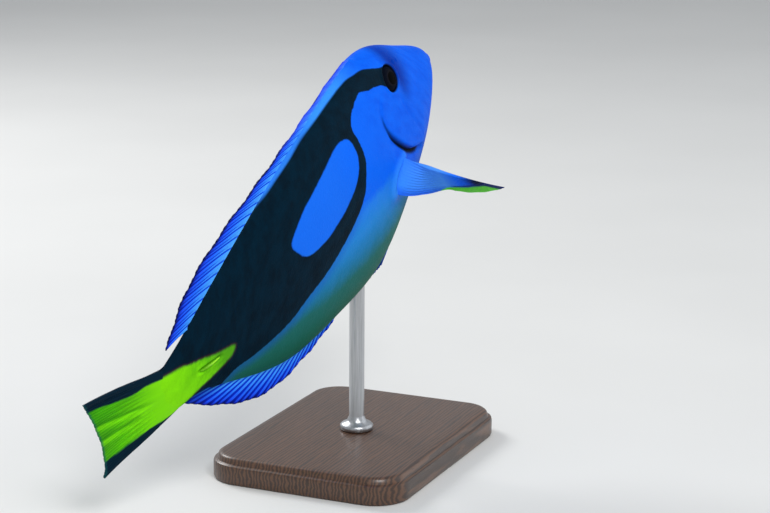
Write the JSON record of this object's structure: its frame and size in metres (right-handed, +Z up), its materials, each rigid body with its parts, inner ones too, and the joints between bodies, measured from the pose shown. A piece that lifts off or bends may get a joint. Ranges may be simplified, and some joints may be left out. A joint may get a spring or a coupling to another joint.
{
  "type": "regal blue tang model",
  "caption": "Life-size regal blue tang swimming up and away to its right with its tail bent left, held by one rod on a plain rounded display base.",
  "frame": {"origin": "centre of the display base's flat underside, on the floor", "axes": "+X the way the fish heads seen from above, +Y its left side, +Z up"},
  "size_m": [0.2024, 0.115, 0.1725],
  "materials": {
    "skin_blue": "satin painted",
    "skin_black": "satin painted",
    "fin_blue": "satin painted",
    "fin_yellow": "satin painted",
    "eye": "glossy",
    "base_wood": "satin stained",
    "rod_metal": "brushed"
  },
  "bodies": {
    "root": {"head": "skin_blue", "torso": "skin_black", "hind_body": "skin_black", "tail_stem": "fin_yellow", "eye_left": "eye", "eye_right": "eye", "tail_blade_left": "fin_yellow", "tail_blade_right": "fin_yellow", "dorsal_fin": "fin_blue", "anal_fin": "fin_blue", "pectoral_fin_right": "fin_blue", "pectoral_fin_left": "fin_blue", "pelvic_fin_right": "fin_blue", "pelvic_fin_left": "fin_blue", "caudal_fin": "fin_yellow", "stand_base": "base_wood", "stand_rod": "rod_metal"}
  },
  "joints": []
}
